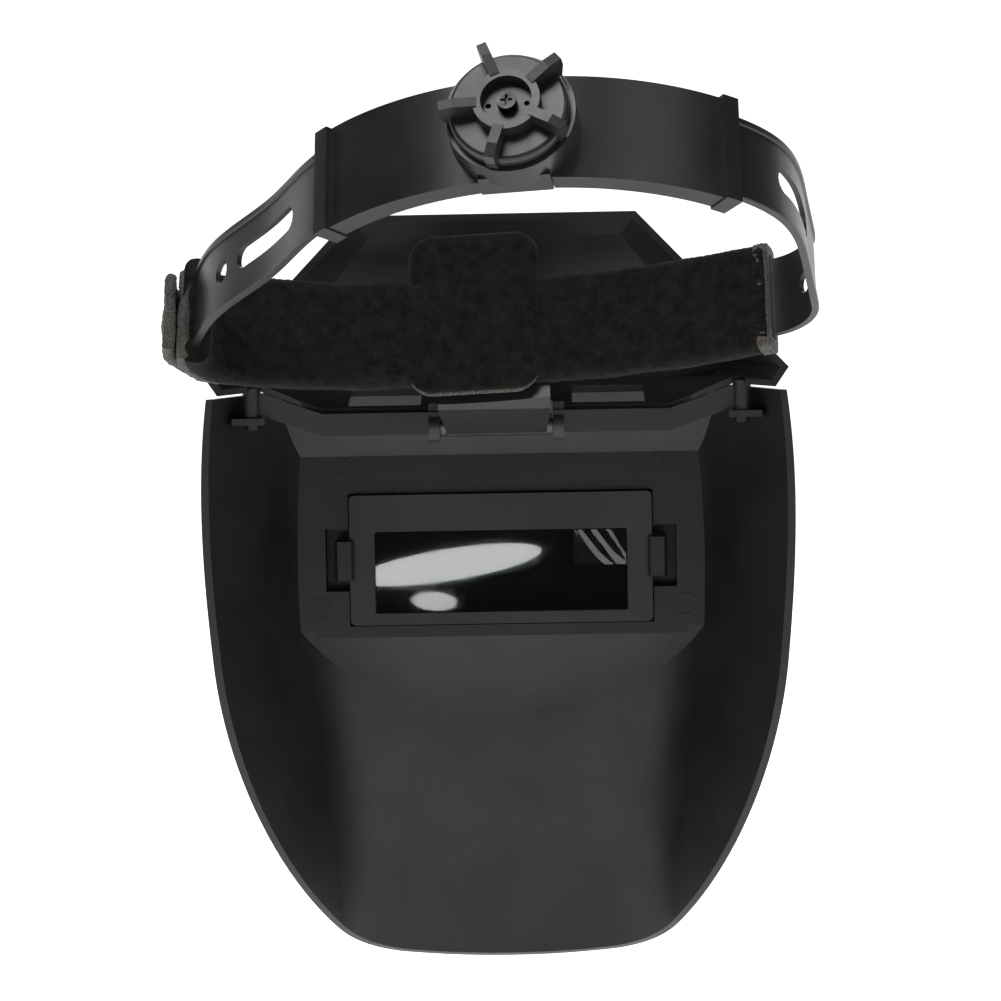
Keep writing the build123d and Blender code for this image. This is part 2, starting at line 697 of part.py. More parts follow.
save("knob_screw", knob_screw())
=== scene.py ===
import json
import math

import bmesh
import bpy
import numpy as np
from mathutils import Matrix, Vector, noise


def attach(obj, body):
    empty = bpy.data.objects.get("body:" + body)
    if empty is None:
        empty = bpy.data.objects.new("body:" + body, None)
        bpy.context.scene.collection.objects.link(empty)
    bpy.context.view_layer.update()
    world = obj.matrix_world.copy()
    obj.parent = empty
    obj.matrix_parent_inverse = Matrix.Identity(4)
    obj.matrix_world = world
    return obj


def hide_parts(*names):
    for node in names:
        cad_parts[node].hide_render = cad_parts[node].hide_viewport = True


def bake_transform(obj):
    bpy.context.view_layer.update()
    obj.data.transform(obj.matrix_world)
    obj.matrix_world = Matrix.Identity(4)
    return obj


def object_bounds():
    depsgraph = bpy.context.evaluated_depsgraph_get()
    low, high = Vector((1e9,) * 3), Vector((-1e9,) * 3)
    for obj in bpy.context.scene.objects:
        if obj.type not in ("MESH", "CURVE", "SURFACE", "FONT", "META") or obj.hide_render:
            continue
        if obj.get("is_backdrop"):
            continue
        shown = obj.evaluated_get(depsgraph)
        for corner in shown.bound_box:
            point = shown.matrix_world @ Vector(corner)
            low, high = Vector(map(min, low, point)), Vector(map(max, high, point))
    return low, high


# A head-worn welding face shield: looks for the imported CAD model. Metres, in the model's frame.
# The headband's pieces are built in the ring's own plan (x right, y front, z up), in millimetres.

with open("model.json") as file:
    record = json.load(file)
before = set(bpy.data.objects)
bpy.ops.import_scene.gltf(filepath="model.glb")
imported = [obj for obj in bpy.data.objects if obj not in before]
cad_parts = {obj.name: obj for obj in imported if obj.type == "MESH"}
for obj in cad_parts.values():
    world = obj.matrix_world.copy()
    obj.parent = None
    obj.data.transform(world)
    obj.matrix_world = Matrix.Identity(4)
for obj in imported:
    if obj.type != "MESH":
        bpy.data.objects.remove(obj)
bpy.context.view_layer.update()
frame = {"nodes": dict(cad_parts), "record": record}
nodes = frame["nodes"]

# ---- the ring's plan, as in the CAD, except SLEEVE_HALF and TAB_X ----
MM = 0.001
RING_TILT = 29.0
RING_HALF = 73.5
BAND = 1.8
BROW_RADIUS = 303.0
BROW_HALF = 97.0
BROW_SHIFT, BROW_YAW = 4.0, -5.5
LEFT_CORNER, RIGHT_CORNER = (13.0, 95.0), (20.0, -75.0)
LEFT_WAY = [(-96.0, 30.5), (-72.0, -3.5)]
RIGHT_WAY = [(106.0, 0.5), (95.0, -36.5)]
REAR_SHIFT, REAR_YAW = 10.2, -7.0
REAR_RADIUS, REAR_HALF_ANGLE = 100.0, 42.0
STRAP_RADIUS = 96.6
STRAP_HALF = 14.5
SLEEVE_RIGHT = 95.0
SLEEVE_HALF = 20.4  # the CAD solid has 21.5
SLEEVE_WALL = 4.2
TAB_X, TAB_WIDTH = -10.5, 47.0  # the CAD solid has its tab at -12.5
TAB_LOW, TAB_HIGH = -25.0, 38.0

# ---- the window's frame ----
MASK = Vector((0, 0.0893, -0.0411))
WINDOW = Matrix.Translation(MASK + Vector((0, 0.0446, -0.085))) @ Matrix.Rotation(math.radians(-3.5), 4, "X")
VIEW_U = -4.8  # height of the glass's middle, in millimetres
PLATE_LIFT = 0.35
PLATE_ROOT = 0.55

SMOOTH_ANGLE = 32
BEVEL_ANGLE = 38
CIRCLE_POINTS = 40
SLOT_POINTS = 48

RING = Matrix.Rotation(math.radians(-RING_TILT), 4, "X")


# ---------------------------------------------------------------- materials

def new_material(name, base, roughness, **sockets):
    material = bpy.data.materials.new(name)
    material.use_nodes = True
    shader = material.node_tree.nodes["Principled BSDF"]
    shader.inputs["Base Color"].default_value = (*base, 1)
    shader.inputs["Roughness"].default_value = roughness
    for socket, value in sockets.items():
        shader.inputs[socket.replace("_", " ")].default_value = value
    return material


def node(tree, kind, **values):
    made = tree.nodes.new(kind)
    for key, value in values.items():
        if key in made.inputs:
            made.inputs[key].default_value = value
        else:
            setattr(made, key, value)
    return made


def position(tree):
    return tree.nodes.new("ShaderNodeTexCoord").outputs["Object"]


def noise_of(tree, scale, detail=4.0, roughness=0.55):
    made = node(tree, "ShaderNodeTexNoise", Scale=scale, Detail=detail, Roughness=roughness)
    tree.links.new(position(tree), made.inputs["Vector"])
    return made.outputs["Fac"]


def ramp(tree, value, low, high, at=(0.35, 0.65)):
    """Turn a texture value into a colour or a grey between two ends."""
    made = tree.nodes.new("ShaderNodeValToRGB")
    made.color_ramp.elements[0].position, made.color_ramp.elements[1].position = at
    made.color_ramp.elements[0].color = (*low, 1)
    made.color_ramp.elements[1].color = (*high, 1)
    tree.links.new(value, made.inputs["Fac"])
    return made.outputs["Color"]


def bump(tree, height, distance, strength, normal=None):
    made = node(tree, "ShaderNodeBump", Distance=distance, Strength=strength)
    tree.links.new(height, made.inputs["Height"])
    if normal is not None:
        tree.links.new(normal, made.inputs["Normal"])
    return made.outputs["Normal"]


def grey(value):
    return (value, value, value)


def moulded(name, base, roughness, grain, depth, spread=0.05):
    """Moulded plastic: slow tone drift, handling smudges in the gloss, and a fine spark grain."""
    material = new_material(name, base, roughness)
    tree = material.node_tree
    shader = tree.nodes["Principled BSDF"]
    darker = tuple(0.82 * c for c in base)
    lighter = tuple(1.2 * c for c in base)
    tree.links.new(ramp(tree, noise_of(tree, 28), darker, lighter), shader.inputs["Base Color"])
    smudge = ramp(tree, noise_of(tree, 45, 6, 0.7), grey(roughness - spread), grey(roughness + spread))
    tree.links.new(smudge, shader.inputs["Roughness"])
    slow = bump(tree, noise_of(tree, 60, 2), 0.0004, 0.08)
    fine = bump(tree, noise_of(tree, grain, 2), depth, 0.35, slow)
    tree.links.new(fine, shader.inputs["Normal"])
    return material


def pile_fabric():
    """Short black pile: tiny tufts, soft sheen, and lint-grey flecks."""
    material = new_material("sweat_fabric", (0.006, 0.006, 0.006), 0.95, Sheen_Weight=0.06,
                            Sheen_Roughness=0.45, Specular_IOR_Level=0.12)
    tree = material.node_tree
    shader = tree.nodes["Principled BSDF"]
    tufts = noise_of(tree, 1900, 3, 0.7)
    tone = ramp(tree, noise_of(tree, 240, 5, 0.7), (0.004, 0.004, 0.004), (0.015, 0.0145, 0.0135))
    tree.links.new(tone, shader.inputs["Base Color"])
    nap = bump(tree, noise_of(tree, 260, 4, 0.65), 0.0006, 0.5)
    tree.links.new(bump(tree, tufts, 0.0004, 0.8, nap), shader.inputs["Normal"])
    return material


def open_foam():
    """Grey-brown foam with open cells."""
    material = new_material("sweat_foam", (0.07, 0.064, 0.058), 0.92, Sheen_Weight=0.08)
    tree = material.node_tree
    shader = tree.nodes["Principled BSDF"]
    cells = node(tree, "ShaderNodeTexVoronoi", Scale=1500.0)
    tree.links.new(position(tree), cells.inputs["Vector"])
    tone = ramp(tree, cells.outputs["Distance"], (0.014, 0.0125, 0.011), (0.11, 0.1, 0.09), (0.15, 0.6))
    tree.links.new(tone, shader.inputs["Base Color"])
    broad = bump(tree, noise_of(tree, 420, 3), 0.0006, 0.5)
    tree.links.new(bump(tree, cells.outputs["Distance"], 0.0005, 0.8, broad), shader.inputs["Normal"])
    return material


def dark_filter():
    """Nearly black, polished, with a faint blue cast and wiped dust."""
    material = new_material("filter_glass", (0.003, 0.004, 0.006), 0.04, Coat_Weight=0.4, Coat_Roughness=0.03)
    tree = material.node_tree
    shader = tree.nodes["Principled BSDF"]
    dust = ramp(tree, noise_of(tree, 70, 6, 0.7), grey(0.015), grey(0.05), (0.45, 0.85))
    tree.links.new(dust, shader.inputs["Roughness"])
    tint = ramp(tree, noise_of(tree, 20), (0.002, 0.003, 0.004), (0.004, 0.006, 0.009))
    tree.links.new(tint, shader.inputs["Base Color"])
    return material


def clear_plastic(name, roughness=0.01):
    material = new_material(name, (0.93, 0.95, 0.95), roughness, Transmission_Weight=1.0, IOR=1.5)
    tree = material.node_tree
    shader = tree.nodes["Principled BSDF"]
    haze = ramp(tree, noise_of(tree, 90, 6, 0.75), grey(roughness), grey(roughness + 0.03), (0.5, 0.85))
    tree.links.new(haze, shader.inputs["Roughness"])
    return material


def metal(name, base, roughness):
    material = new_material(name, base, roughness, Metallic=1.0)
    tree = material.node_tree
    shader = tree.nodes["Principled BSDF"]
    rub = ramp(tree, noise_of(tree, 400, 5, 0.7), grey(roughness - 0.08), grey(roughness + 0.12))
    tree.links.new(rub, shader.inputs["Roughness"])
    tree.links.new(bump(tree, noise_of(tree, 900), 0.0001, 0.3), shader.inputs["Normal"])
    return material


MATERIALS = {
    "shell_plastic": moulded("shell_plastic", (0.0055, 0.0055, 0.0053), 0.43, 2600, 0.00008),
    "guard_plastic": moulded("guard_plastic", (0.013, 0.013, 0.0128), 0.40, 2600, 0.00008),
    "filter_plastic": moulded("filter_plastic", (0.016, 0.016, 0.0158), 0.52, 3400, 0.00012),
    "band_plastic": moulded("band_plastic", (0.015, 0.015, 0.0147), 0.36, 2200, 0.00006),
    "knob_plastic": moulded("knob_plastic", (0.015, 0.015, 0.0147), 0.34, 2400, 0.00007),
    "gear_plastic": moulded("gear_plastic", (0.62, 0.60, 0.55), 0.45, 1800, 0.00006),
    "solar_film": moulded("solar_film", (0.03, 0.008, 0.014), 0.18, 1200, 0.00003),
    "circuit": moulded("circuit", (0.01, 0.09, 0.03), 0.35, 1500, 0.00008),
    "sensor_lens": moulded("sensor_lens", (0.03, 0.004, 0.004), 0.12, 900, 0.00002, 0.03),
    "filter_glass": dark_filter(),
    "clear_cover": clear_plastic("clear_cover"),
    "sweat_fabric": pile_fabric(),
    "steel": metal("steel", (0.09, 0.09, 0.088), 0.4),
    "black_steel": metal("black_steel", (0.05, 0.05, 0.05), 0.4),
}
FOAM = open_foam()


def smooth_by_angle():
    """Geometry nodes that shade faces smooth and keep edges above SMOOTH_ANGLE sharp."""
    group = bpy.data.node_groups.new("smooth_by_angle", "GeometryNodeTree")
    group.interface.new_socket("Geometry", in_out="INPUT", socket_type="NodeSocketGeometry")
    group.interface.new_socket("Geometry", in_out="OUTPUT", socket_type="NodeSocketGeometry")
    start, end = group.nodes.new("NodeGroupInput"), group.nodes.new("NodeGroupOutput")
    angle = group.nodes.new("GeometryNodeInputMeshEdgeAngle")
    above = group.nodes.new("FunctionNodeCompare")
    above.operation = "GREATER_THAN"
    above.inputs["B"].default_value = math.radians(SMOOTH_ANGLE)
    faces, edges = (group.nodes.new("GeometryNodeSetShadeSmooth") for _ in range(2))
    edges.domain = "EDGE"
    edges.inputs["Shade Smooth"].default_value = False
    group.links.new(start.outputs[0], faces.inputs["Geometry"])
    group.links.new(faces.outputs[0], edges.inputs["Geometry"])
    group.links.new(angle.outputs["Unsigned Angle"], above.inputs["A"])
    group.links.new(above.outputs[0], edges.inputs["Selection"])
    group.links.new(edges.outputs[0], end.inputs[0])
    return group


SMOOTH = smooth_by_angle()


def soften(obj, width=0):
    """Small moulding radius on every hard edge, if a width is given, then smooth shading."""
    if width:
        bevel = obj.modifiers.new("edges", "BEVEL")
        bevel.width, bevel.segments = width, 2
        bevel.limit_method, bevel.angle_limit = "ANGLE", math.radians(BEVEL_ANGLE)
        bevel.use_clamp_overlap = True
        bevel.miter_outer = "MITER_ARC"
    obj.modifiers.new("smooth", "NODES").node_group = SMOOTH


EDGE_WIDTH = {"shield_shell": 0.0005, "brow_guard": 0.0006, "filter_frame": 0.0004, "clip_left": 0.0003,
              "clip_right": 0.0003, "rear_housing": 0.0004, "ratchet_base": 0.0004, "star_knob": 0.0004,
              "hinge_arm": 0.0004, "rear_cover": 0.0002}


def dress_cad():
    for sub in frame["record"]["subparts"]:
        obj = nodes[sub["node"]]
        obj.data.materials.clear()
        obj.data.materials.append(MATERIALS[sub["material_slot"]])
        soften(obj, EDGE_WIDTH.get(sub["node"], 0))


# ---------------------------------------------------------------- plan lines

def turned(point, place, yaw):
    a = math.radians(yaw)
    return (place[0] + point[0] * math.cos(a) - point[1] * math.sin(a),
            place[1] + point[0] * math.sin(a) + point[1] * math.cos(a))


def brow_line(low, high, count=60):
    """The brow band's centre line."""
    line = []
    for x in np.linspace(low, high, count):
        drop = BROW_RADIUS - math.sqrt(BROW_RADIUS ** 2 - x ** 2)
        line.append(turned((x, -drop), (BROW_SHIFT, RING_HALF), BROW_YAW))
    return line


def corner_line(side, count=24):
    """The bend from the brow arc's end into a strap."""
    radius, turn = RIGHT_CORNER if side > 0 else LEFT_CORNER
    lean = math.degrees(math.asin(BROW_HALF / BROW_RADIUS))
    heading = BROW_YAW - lean if side > 0 else 180 + BROW_YAW + lean
    start = brow_line(-BROW_HALF, BROW_HALF, 2)[1 if side > 0 else 0]
    way = -1 if turn < 0 else 1
    centre_angle = math.radians(heading + way * 90)
    centre = (start[0] + radius * math.cos(centre_angle), start[1] + radius * math.sin(centre_angle))
    line = []
    for share in np.linspace(0, 1, count):
        angle = math.radians(heading + turn * share - way * 90)
        line.append((centre[0] + radius * math.cos(angle), centre[1] + radius * math.sin(angle)))
    return line, heading + turn


def rear_point(angle, radius):
    a = math.radians(angle)
    local = (radius * math.sin(a), REAR_RADIUS - radius * math.cos(a))
    return turned(local, (REAR_SHIFT, -RING_HALF), REAR_YAW)


def clamped_spline(points, start, end, count=70):
    """Smooth cubic curve through points with given end directions."""
    p = np.array(points)
    step = np.linalg.norm(np.diff(p, axis=0), axis=1)
    size = len(p)
    matrix, right = np.eye(size), np.zeros((size, 2))
    right[0], right[-1] = start, end
    for i in range(1, size - 1):
        h0, h1 = step[i - 1], step[i]
        matrix[i, i - 1:i + 2] = (h1, 2 * (h0 + h1), h0)
        right[i] = 3 * (h1 * (p[i] - p[i - 1]) / h0 + h0 * (p[i + 1] - p[i]) / h1)
    slope = np.linalg.solve(matrix, right)
    line = []
    for i in range(size - 1):
        for t in np.linspace(0, 1, count // (size - 1), endpoint=i == size - 2):
            h = step[i]
            value = ((2 * t ** 3 - 3 * t ** 2 + 1) * p[i] + (t ** 3 - 2 * t ** 2 + t) * h * slope[i]
                     + (3 * t ** 2 - 2 * t ** 3) * p[i + 1] + (t ** 3 - t ** 2) * h * slope[i + 1])
            line.append(tuple(value))
    return line


def direction(degrees):
    return (math.cos(math.radians(degrees)), math.sin(math.radians(degrees)))


def strap_lines(side):
    """Corner, free stretch, and the stretch inside the rear unit."""
    corner, heading = corner_line(side)
    last = side * (REAR_HALF_ANGLE + 1)
    collar = rear_point(last, STRAP_RADIUS)
    away = REAR_YAW + last + (180 if side > 0 else 0)
    way = RIGHT_WAY if side > 0 else LEFT_WAY
    free = clamped_spline([corner[-1], *way, collar], direction(heading), direction(away))
    inside = [rear_point(side * a, STRAP_RADIUS) for a in np.linspace(REAR_HALF_ANGLE + 1, 15, 24)]
    return corner, free, inside


def joined(*lines):
    """Several lines as one, without repeated points, evenly spaced."""
    points = [lines[0][0]]
    for line in lines:
        for p in line:
            if math.dist(p, points[-1]) > 0.05:
                points.append(p)
    return points


def spaced(line, gap):
    p = np.array(line)
    run = np.concatenate([[0], np.cumsum(np.linalg.norm(np.diff(p, axis=0), axis=1))])
    marks = np.linspace(0, run[-1], max(2, int(run[-1] / gap)))
    return [(float(np.interp(m, run, p[:, 0])), float(np.interp(m, run, p[:, 1]))) for m in marks]


def normals(line):
    p = np.array(line)
    t = np.gradient(p, axis=0)
    t /= np.linalg.norm(t, axis=1)[:, None]
    return np.stack([-t[:, 1], t[:, 0]], 1)


# ---------------------------------------------------------------- mesh helpers

def mesh_object(name, bm, matrix=RING):
    """A new piece from a mesh built in millimetres."""
    bmesh.ops.recalc_face_normals(bm, faces=bm.faces)
    bm.transform(matrix @ Matrix.Scale(MM, 4))
    mesh = bpy.data.meshes.new(name)
    bm.to_mesh(mesh)
    bm.free()
    for polygon in mesh.polygons:
        polygon.use_smooth = True
    obj = bpy.data.objects.new(name, mesh)
    bpy.context.scene.collection.objects.link(obj)
    return obj


def sweep(line, section):
    """Closed solid whose cross-section, (across, up) points, follows a plan line."""
    bm = bmesh.new()
    rings = []
    for (x, y), (nx, ny) in zip(line, normals(line)):
        rings.append([bm.verts.new((x + nx * a, y + ny * a, w)) for a, w in section])
    for one, two in zip(rings, rings[1:]):
        for k in range(len(one)):
            j = (k + 1) % len(one)
            bm.faces.new((one[k], one[j], two[j], two[k]))
    bm.faces.new(rings[0])
    bm.faces.new(rings[-1][::-1])
    return bm


def rounded_box(half_a, low, high, radius, per_corner=5, along=1.2):
    """Outline of a rounded rectangle with extra points on its long sides."""
    centres = [(half_a - radius, high - radius), (radius - half_a, high - radius),
               (radius - half_a, low + radius), (half_a - radius, low + radius)]
    points = []
    for k, (ca, cw) in enumerate(centres):
        for s in np.linspace(0, 90, per_corner):
            angle = math.radians(90 * k + s)
            points.append((ca + radius * math.cos(angle), cw + radius * math.sin(angle)))
    dense = []
    for one, two in zip(points, points[1:] + points[:1]):
        parts = max(1, round(math.dist(one, two) / along))
        for s in range(parts):
            t = s / parts
            dense.append((one[0] + (two[0] - one[0]) * t, one[1] + (two[1] - one[1]) * t))
    return dense


def roughen(bm, amount, scale, seed):
    """Push the surface in and out by seeded noise, along its normals."""
    bm.normal_update()
    moves = []
    for v in bm.verts:
        n = noise.noise(v.co * scale + Vector((seed, seed, seed)))
        moves.append((v, v.normal * n * amount))
    for v, move in moves:
        v.co += move


def dress(obj, material, body=None, smooth=True):
    obj.data.materials.append(material)
    if body:
        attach(obj, body)
    if smooth:
        soften(obj)


def cut(obj, cutter):
    """Subtract one object from another and keep the result as plain mesh."""
    boolean = obj.modifiers.new("cut", "BOOLEAN")
    boolean.operation, boolean.solver, boolean.object = "DIFFERENCE", "EXACT", cutter
    bpy.context.view_layer.update()
    result = bpy.data.meshes.new_from_object(obj.evaluated_get(bpy.context.evaluated_depsgraph_get()))
    obj.modifiers.clear()
    obj.data = result
    bpy.data.objects.remove(cutter)


# ---------------------------------------------------------------- straps

RIB = 0.7
RIB_WIDTH = 2.4


def strap_profile(side):
    """Flat band with a raised rib along both edges of its outer face."""
    t, h = BAND / 2, STRAP_HALF
    out = t + RIB
    right = [(-t, -h), (-t, h), (out - 0.2, h), (out, h - 0.3), (out, h - RIB_WIDTH + 0.4),
             (t, h - RIB_WIDTH), (t, RIB_WIDTH - h), (out, RIB_WIDTH - 0.4 - h), (out, 0.3 - h),
             (out - 0.2, -h)]
    rows = []
    for one, two in zip(right, right[1:] + right[:1]):
        parts = max(1, round(math.dist(one, two) / 3.0))
        rows += [(one[0] + (two[0] - one[0]) * s / parts, one[1] + (two[1] - one[1]) * s / parts)
                 for s in range(parts)]
    return [(side * a, w) for a, w in rows]


def slot_cutter(line, share, length, height):
    """A long rounded prism through the strap."""
    at = int(share * (len(line) - 1))
    p, n = line[at], normals(line)[at]
    along = (n[1], -n[0])
    bm = bmesh.new()
    ring = []
    r = height / 2
    for k in range(SLOT_POINTS):
        angle = 2 * math.pi * k / SLOT_POINTS
        a = r * math.cos(angle) + math.copysign(length / 2 - r, math.cos(angle))
        ring.append((a, r * math.sin(angle)))
    for depth in (-8, 8):
        x, y = p[0] + n[0] * depth, p[1] + n[1] * depth
        bm.faces.new([bm.verts.new((x + along[0] * a, y + along[1] * a, w)) for a, w in ring])
    bm.verts.ensure_lookup_table()
    near, far = bm.verts[:SLOT_POINTS], bm.verts[SLOT_POINTS:]
    for k in range(SLOT_POINTS):
        j = (k + 1) % SLOT_POINTS
        bm.faces.new((near[k], near[j], far[j], far[k]))
    return mesh_object("cutter", bm)


def outward(line):
    """+1 if the line's normals point away from the ring's middle."""
    p, n = line[len(line) // 2], normals(line)[len(line) // 2]
    return 1 if p[0] * n[0] + p[1] * n[1] > 0 else -1


def build_strap(side):
    corner, free, inside = strap_lines(side)
    name = "strap_right_band" if side > 0 else "strap_left_band"
    full = spaced(joined(corner, free, inside), 1.6)
    face = strap_profile(outward(full))
    strap = mesh_object(name, sweep(full, face))
    free_even = spaced(free, 1.0)
    cut(strap, slot_cutter(free_even, 0.55 if side > 0 else 0.60, 39.0, 8.5))
    if side > 0:
        cut(strap, slot_cutter(spaced(corner, 0.5), 0.62, 8.0, 7.98))
    else:
        cut(strap, slot_cutter(free_even, 0.30, 8.0, 7.98))
    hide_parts("strap_right" if side > 0 else "strap_left")
    strap.data.materials.append(MATERIALS["band_plastic"])
    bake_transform(strap)
    soften(strap)


# ---------------------------------------------------------------- sweatband

SLEEVE_OUT = BAND / 2 + SLEEVE_WALL
PAD_EASE = 2.0
PAD_CORNER = 9.0


def crowned(outline, half_a, crown, low, high):
    """Swell the long faces of an outline a little, most at mid height."""
    middle, reach = (low + high) / 2, (high - low) / 2
    return [(a * (1 + crown / half_a * (1 - ((w - middle) / reach) ** 2)), w) for a, w in outline]


def build_sleeve():
    corner, _ = corner_line(-1)
    line = spaced(joined(corner[::-1], brow_line(-BROW_HALF, SLEEVE_RIGHT)), 0.9)
    plain = rounded_box(SLEEVE_OUT - 0.3, -SLEEVE_HALF, SLEEVE_HALF, 4.2, 7, 0.9)
    outline = crowned(plain, SLEEVE_OUT, 0.5, -SLEEVE_HALF, SLEEVE_HALF)
    bm = sweep(line, outline)
    roughen(bm, 1.1, 0.05, 3)
    roughen(bm, 0.35, 0.9, 11)
    cover = mesh_object("sweatband_cover", bm)
    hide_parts("sweatband")
    dress(cover, MATERIALS["sweat_fabric"], "headband", False)
    build_edge_foam(line)
    build_fold_foam(corner[::-1])


def build_edge_foam(line):
    """Foam core that shows at the sleeve's right end."""
    tail = line[-26:]
    dx, dy = tail[-1][0] - tail[-2][0], tail[-1][1] - tail[-2][1]
    length = math.hypot(dx, dy)
    tail = tail + [(tail[-1][0] + dx / length * s, tail[-1][1] + dy / length * s) for s in (0.5, 1.0)]
    outline = rounded_box(SLEEVE_OUT - 0.4, -SLEEVE_HALF + 0.1, SLEEVE_HALF - 0.1, 2.4, 5, 0.9)
    bm = sweep(spaced(tail[-7:], 0.5), outline)
    roughen(bm, 0.5, 0.7, 5)
    foam = mesh_object("sweatband_end_foam", bm)
    dress(foam, FOAM, "headband", False)


def build_fold_foam(corner):
    """Two foam layers rolled round the outside of the left fold, with a gap between them."""
    line = spaced(corner, 0.6)
    side = outward(line)
    for name, middle, half, low, high in (("fold_foam_inner", 4.4, 1.9, -19.5, 15.0),
                                          ("fold_foam_outer", 9.6, 2.0, -16.5, 13.0)):
        outline = [(side * (middle + a), w) for a, w in rounded_box(half, low, high, 1.8, 5, 0.8)]
        bm = sweep(line, outline)
        roughen(bm, 1.0, 0.12, 8)
        roughen(bm, 0.5, 0.8, 2)
        foam = mesh_object(name, bm)
        dress(foam, FOAM, "headband", False)


def rounded_pad(name, width, low, high, near, far, radius, crown, seed):
    """A flat pad with rounded corners and soft edges, facing the head."""
    bm = bmesh.new()
    gap = 0.9
    columns, rows = round(width / gap), round((high - low) / gap)
    middle, reach_x, reach_w = (low + high) / 2, width / 2, (high - low) / 2
    for facing in (-1, 1):
        swell = crown if facing < 0 else 0
        grid = {}
        for i in range(columns + 1):
            for k in range(rows + 1):
                u, v = 2 * i / columns - 1, 2 * k / rows - 1
                x, w = u * reach_x, v * reach_w
                dx = max(abs(x) - reach_x + radius, 0)
                dw = max(abs(w) - reach_w + radius, 0)
                away = math.hypot(dx, dw)
                if away > radius:
                    x = math.copysign(reach_x - radius + dx * radius / away, x)
                    w = math.copysign(reach_w - radius + dw * radius / away, w)
                side_x = reach_x - abs(x) if not dw else math.inf
                side_w = reach_w - abs(w) if not dx else math.inf
                edge = min(radius - min(away, radius), side_x, side_w)
                ease = 1 - max(0.0, 1 - edge / PAD_EASE) ** 2
                thick = (far - near) / 2 * ease + swell * (1 - u * u) * (1 - v * v)
                grid[i, k] = bm.verts.new((TAB_X + x, (near + far) / 2 + facing * thick, middle + w))
        for i in range(columns):
            for k in range(rows):
                bm.faces.new((grid[i, k], grid[i + 1, k], grid[i + 1, k + 1], grid[i, k + 1]))
    bmesh.ops.remove_doubles(bm, verts=bm.verts, dist=0.02)
    roughen(bm, 0.3, 0.9, seed)
    yaw = Matrix.Rotation(math.radians(BROW_YAW), 4, "Z")
    brow = Matrix.Translation((BROW_SHIFT, RING_HALF, 0)) @ yaw
    return mesh_object(name, bm, RING @ Matrix.Scale(MM, 4) @ brow @ Matrix.Scale(1 / MM, 4))


def build_tab():
    face = -SLEEVE_OUT
    cover = rounded_pad("tab_cover", TAB_WIDTH, TAB_LOW + 0.8, TAB_HIGH,
                        face - 0.9, face + 1.8, PAD_CORNER, 0.3, 21)
    dress(cover, MATERIALS["sweat_fabric"], "headband", False)
    foam = rounded_pad("tab_foam", TAB_WIDTH - 0.4, TAB_LOW, TAB_HIGH - 0.5,
                       face + 0.6, face + 2.6, PAD_CORNER, 0, 31)
    dress(foam, FOAM, "headband", False)


# ---------------------------------------------------------------- mask details

def ring_mark(name, x, u, radius, thick):
    """A thin raised circle left by a mould pin, on the window plate."""
    bm = bmesh.new()
    circles = []
    for r in (radius, radius - thick):
        for k in range(CIRCLE_POINTS):
            angle = 2 * math.pi * k / CIRCLE_POINTS
            circles.append(bm.verts.new((x + r * math.cos(angle), -PLATE_LIFT, u + r * math.sin(angle))))
    outer, inner = circles[:CIRCLE_POINTS], circles[CIRCLE_POINTS:]
    lower = [bm.verts.new(v.co + Vector((0, PLATE_ROOT, 0))) for v in circles]
    low_outer, low_inner = lower[:CIRCLE_POINTS], lower[CIRCLE_POINTS:]
    for k in range(CIRCLE_POINTS):
        j = (k + 1) % CIRCLE_POINTS
        bm.faces.new((outer[k], outer[j], inner[j], inner[k]))
        bm.faces.new((outer[k], outer[j], low_outer[j], low_outer[k]))
        bm.faces.new((inner[k], inner[j], low_inner[j], low_inner[k]))
        bm.faces.new((low_outer[k], low_outer[j], low_inner[j], low_inner[k]))
    mark = mesh_object(name, bm, WINDOW)
    dress(mark, MATERIALS["shell_plastic"], "mask")


def build_marks():
    for side, label in ((-1, "left"), (1, "right")):
        ring_mark("mould_mark_low_" + label, side * 70.5, -19.0, 4.6, 0.8)
        ring_mark("mould_mark_high_" + label, side * 60.0, 35.5, 3.2, 0.7)


FILM_CREASES = ((34.0, 0.75, 0.55, 1.8), (39.5, 0.75, 0.75, 2.0), (44.5, 0.6, 0.5, 1.5))


def build_film():
    """Loose corner of the protective film on the inner cover, with lifted creases."""
    bm = bmesh.new()
    grid = {}
    columns, rows = 60, 40
    for i in range(columns + 1):
        for k in range(rows + 1):
            s, t = i / columns, k / rows
            x, u = 28 + 20 * s, VIEW_U + 15.2 - 13.5 * (1 - t)
            lift = 0
            for at, lean, high, width in FILM_CREASES:
                off = x - at - lean * (VIEW_U + 12 - u)
                lift += high * math.exp(-(off / width) ** 2)
            lift *= min(1, 3 * t) * min(1, 4 * s + 0.1)
            grid[i, k] = bm.verts.new((x, -0.78 - lift, u))
    for i in range(columns):
        for k in range(rows):
            bm.faces.new((grid[i, k], grid[i + 1, k], grid[i + 1, k + 1], grid[i, k + 1]))
    film = mesh_object("lens_film", bm, WINDOW)
    solid = film.modifiers.new("thickness", "SOLIDIFY")
    solid.thickness = 0.00005
    dress(film, clear_plastic("film", 0.06), "mask")


# ---------------------------------------------------------------- studio

CAMERA_TARGET = Vector((0.001, 0.0893, -0.0988))
CAMERA_DISTANCE = 1.095
CAMERA_AZIMUTH, CAMERA_ELEVATION, CAMERA_ROLL = 1.0, 6.5, -1.1
CAMERA_LENS = 106.8


